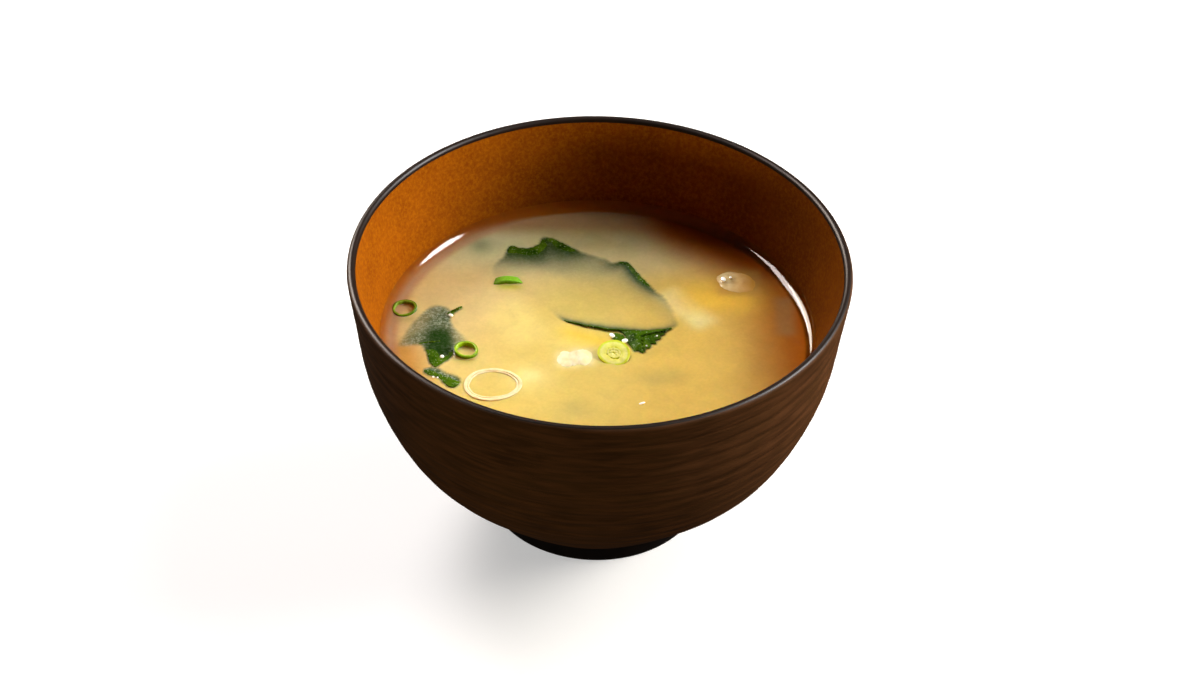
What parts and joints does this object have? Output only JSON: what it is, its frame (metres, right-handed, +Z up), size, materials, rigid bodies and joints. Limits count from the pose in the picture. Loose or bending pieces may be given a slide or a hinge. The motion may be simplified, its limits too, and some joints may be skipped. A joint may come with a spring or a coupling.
{
  "type": "bowl of miso soup",
  "caption": "Deep round lacquer bowl on a foot ring, filled with miso soup: wakame, scallion and leek rings at its surface and tofu below.",
  "frame": {"origin": "middle of the foot ring's underside, on the surface that the bowl stands on", "axes": "+Z up along the bowl's axis of turning, +X to the right and +Y away from the viewer of the soup"},
  "size_m": [0.115, 0.115, 0.0693],
  "materials": {
    "lacquer": "satin dark brown outside, glossy black lip, amber with a fine gold fleck inside",
    "broth": "cloudy wet yellow-beige liquid",
    "wakame": "wet dark green leaf",
    "scallion_green": "wet fresh green",
    "scallion_pale": "wet yellow green",
    "leek_white": "wet cream white",
    "onion_clear": "wet translucent white",
    "tofu": "soft cream blocks below the surface"
  },
  "bodies": {
    "root": {"bowl": "lacquer", "soup": "broth", "wakame_large": "wakame", "wakame_left": "wakame", "wakame_small": "wakame", "scallion_ring_rim": "scallion_green", "scallion_ring_left": "scallion_green", "scallion_ring_tilted": "scallion_green", "scallion_ring_pale": "scallion_pale", "leek_ring": "leek_white", "leek_slice": "leek_white", "onion_slice": "onion_clear"}
  },
  "joints": []
}
